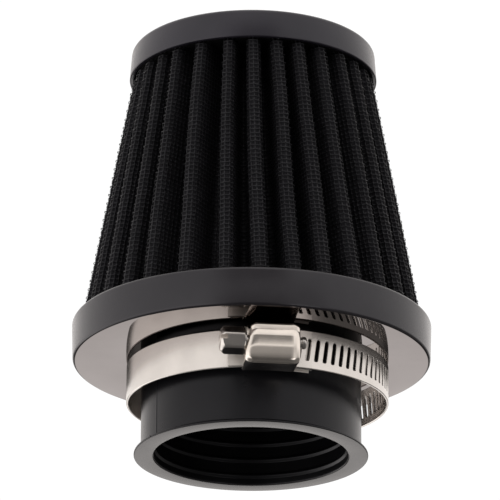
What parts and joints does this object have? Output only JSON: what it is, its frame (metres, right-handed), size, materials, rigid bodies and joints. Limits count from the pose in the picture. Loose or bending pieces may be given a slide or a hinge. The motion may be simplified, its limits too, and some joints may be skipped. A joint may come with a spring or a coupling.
{
  "type": "cone air filter",
  "caption": "Clamp-on cone air filter: pleated wire-mesh element between an end cap and a flanged base, with a rubber neck and a loose worm-drive band clamp.",
  "frame": {"origin": "centre of the end cap's flat end, at the bottom of the whole object", "axes": "+Z along the filter's axis, from the end cap to the neck's open mouth; -Y towards the clamp's housing; +X towards the screw's hex head"},
  "size_m": [0.0932, 0.0932, 0.1115],
  "materials": {
    "cap_plastic": "satin moulded, dark grey",
    "flange_plastic": "satin rim with a polished end face",
    "neck_rubber": "satin black rubber",
    "potting": "cast, matte",
    "wire_screen": "black epoxy-coated fine woven wire",
    "cotton": "oiled cotton gauze",
    "stainless": "bright rolled stainless strip"
  },
  "bodies": {
    "filter": {"end_cap": "cap_plastic", "cap_potting": "potting", "outer_screen": "wire_screen", "filter_media": "cotton", "inner_screen": "wire_screen", "base_potting": "potting", "base_flange": "flange_plastic", "neck_sleeve": "neck_rubber"},
    "clamp_head": {"clamp_housing": "stainless", "clamp_saddle": "stainless", "band_foot": "stainless"},
    "worm": {"worm_screw": "stainless"},
    "band_01": {"band_link_01": "stainless"},
    "band_02": {"band_link_02": "stainless"},
    "band_03": {"band_link_03": "stainless"},
    "band_04": {"band_link_04": "stainless"},
    "band_05": {"band_link_05": "stainless"},
    "band_06": {"band_link_06": "stainless"},
    "band_07": {"band_link_07": "stainless"},
    "band_08": {"band_link_08": "stainless"},
    "band_09": {"band_link_09": "stainless"},
    "band_10": {"band_link_10": "stainless"},
    "band_11": {"band_link_11": "stainless"},
    "band_12": {"band_link_12": "stainless"},
    "band_13": {"band_link_13": "stainless"},
    "band_14": {"band_link_14": "stainless"},
    "band_15": {"band_link_15": "stainless"}
  },
  "joints": [
    {"name": "clamp_turn", "type": "hinge", "parent": "filter", "child": "band_02", "pos_m": [0, 0, 0.09205], "axis": [0, 0, 1], "continuous": true},
    {"name": "band_flex_03", "type": "hinge", "parent": "band_02", "child": "band_03", "pos_m": [0.02569, -0.01794, 0.09239], "axis": [0, 0.0175, 0.9998], "range_deg": [-1.22, 1.84]},
    {"name": "band_flex_04", "type": "hinge", "parent": "band_03", "child": "band_04", "pos_m": [0.03138, -0.00506, 0.09216], "axis": [0, 0.0175, 0.9998], "range_deg": [-1.22, 1.84]},
    {"name": "band_flex_05", "type": "hinge", "parent": "band_04", "child": "band_05", "pos_m": [0.03121, 0.00907, 0.09192], "axis": [0, 0.0175, 0.9998], "range_deg": [-1.22, 1.84]},
    {"name": "band_flex_06", "type": "hinge", "parent": "band_05", "child": "band_06", "pos_m": [0.02518, 0.02188, 0.09169], "axis": [0, 0.0175, 0.9998], "range_deg": [-1.22, 1.84]},
    {"name": "band_flex_07", "type": "hinge", "parent": "band_06", "child": "band_07", "pos_m": [0.01435, 0.03107, 0.09153], "axis": [0, 0.0175, 0.9998], "range_deg": [-1.22, 1.84]},
    {"name": "band_flex_08", "type": "hinge", "parent": "band_07", "child": "band_08", "pos_m": [0.00065, 0.03495, 0.09146], "axis": [0, 0.0175, 0.9998], "range_deg": [-1.22, 1.84]},
    {"name": "band_flex_09", "type": "hinge", "parent": "band_08", "child": "band_09", "pos_m": [-0.01347, 0.03279, 0.0915], "axis": [0, 0.0175, 0.9998], "range_deg": [-1.22, 1.84]},
    {"name": "band_flex_10", "type": "hinge", "parent": "band_09", "child": "band_10", "pos_m": [-0.02545, 0.02495, 0.09164], "axis": [0, 0.0175, 0.9998], "range_deg": [-1.22, 1.84]},
    {"name": "band_flex_11", "type": "hinge", "parent": "band_10", "child": "band_11", "pos_m": [-0.03312, 0.01282, 0.09185], "axis": [0, 0.0175, 0.9998], "range_deg": [-1.22, 1.84]},
    {"name": "band_flex_12", "type": "hinge", "parent": "band_11", "child": "band_12", "pos_m": [-0.03508, -0.00144, 0.0921], "axis": [0, 0.0175, 0.9998], "range_deg": [-1.22, 1.84]},
    {"name": "band_flex_13", "type": "hinge", "parent": "band_12", "child": "band_13", "pos_m": [-0.03093, -0.01526, 0.09234], "axis": [0, 0.0175, 0.9998], "range_deg": [-1.22, 1.84]},
    {"name": "band_flex_14", "type": "hinge", "parent": "band_13", "child": "band_14", "pos_m": [-0.0214, -0.02615, 0.09253], "axis": [0, 0.0175, 0.9998], "range_deg": [-1.22, 1.84]},
    {"name": "band_flex_15", "type": "hinge", "parent": "band_14", "child": "band_15", "pos_m": [-0.00817, -0.03208, 0.09263], "axis": [0, 0.0175, 0.9998], "range_deg": [-1.22, 1.84]},
    {"name": "band_flex_02", "type": "hinge", "parent": "band_02", "child": "band_01", "pos_m": [0.0152, -0.02728, 0.09255], "axis": [0, 0.0175, 0.9998], "range_deg": [-1.84, 1.22]},
    {"name": "band_flex_01", "type": "hinge", "parent": "band_01", "child": "clamp_head", "pos_m": [0.00182, -0.03145, 0.09262], "axis": [0, 0.0175, 0.9998], "range_deg": [-1.84, 1.22]},
    {"name": "screw_spin", "type": "hinge", "parent": "clamp_head", "child": "worm", "pos_m": [-0.0057, -0.03663, 0.09271], "axis": [-0.9932, 0.1167, -0.002], "range_deg": [-1440, 2160]}
  ],
  "couplings": [
    {"joint": "band_flex_03", "follows": "screw_spin", "ratio": 0.00083333},
    {"joint": "band_flex_04", "follows": "screw_spin", "ratio": 0.00083333},
    {"joint": "band_flex_05", "follows": "screw_spin", "ratio": 0.00083333},
    {"joint": "band_flex_06", "follows": "screw_spin", "ratio": 0.00083333},
    {"joint": "band_flex_07", "follows": "screw_spin", "ratio": 0.00083333},
    {"joint": "band_flex_08", "follows": "screw_spin", "ratio": 0.00083333},
    {"joint": "band_flex_09", "follows": "screw_spin", "ratio": 0.00083333},
    {"joint": "band_flex_10", "follows": "screw_spin", "ratio": 0.00083333},
    {"joint": "band_flex_11", "follows": "screw_spin", "ratio": 0.00083333},
    {"joint": "band_flex_12", "follows": "screw_spin", "ratio": 0.00083333},
    {"joint": "band_flex_13", "follows": "screw_spin", "ratio": 0.00083333},
    {"joint": "band_flex_14", "follows": "screw_spin", "ratio": 0.00083333},
    {"joint": "band_flex_15", "follows": "screw_spin", "ratio": 0.00083333},
    {"joint": "band_flex_02", "follows": "screw_spin", "ratio": -0.00083333},
    {"joint": "band_flex_01", "follows": "screw_spin", "ratio": -0.00083333}
  ]
}
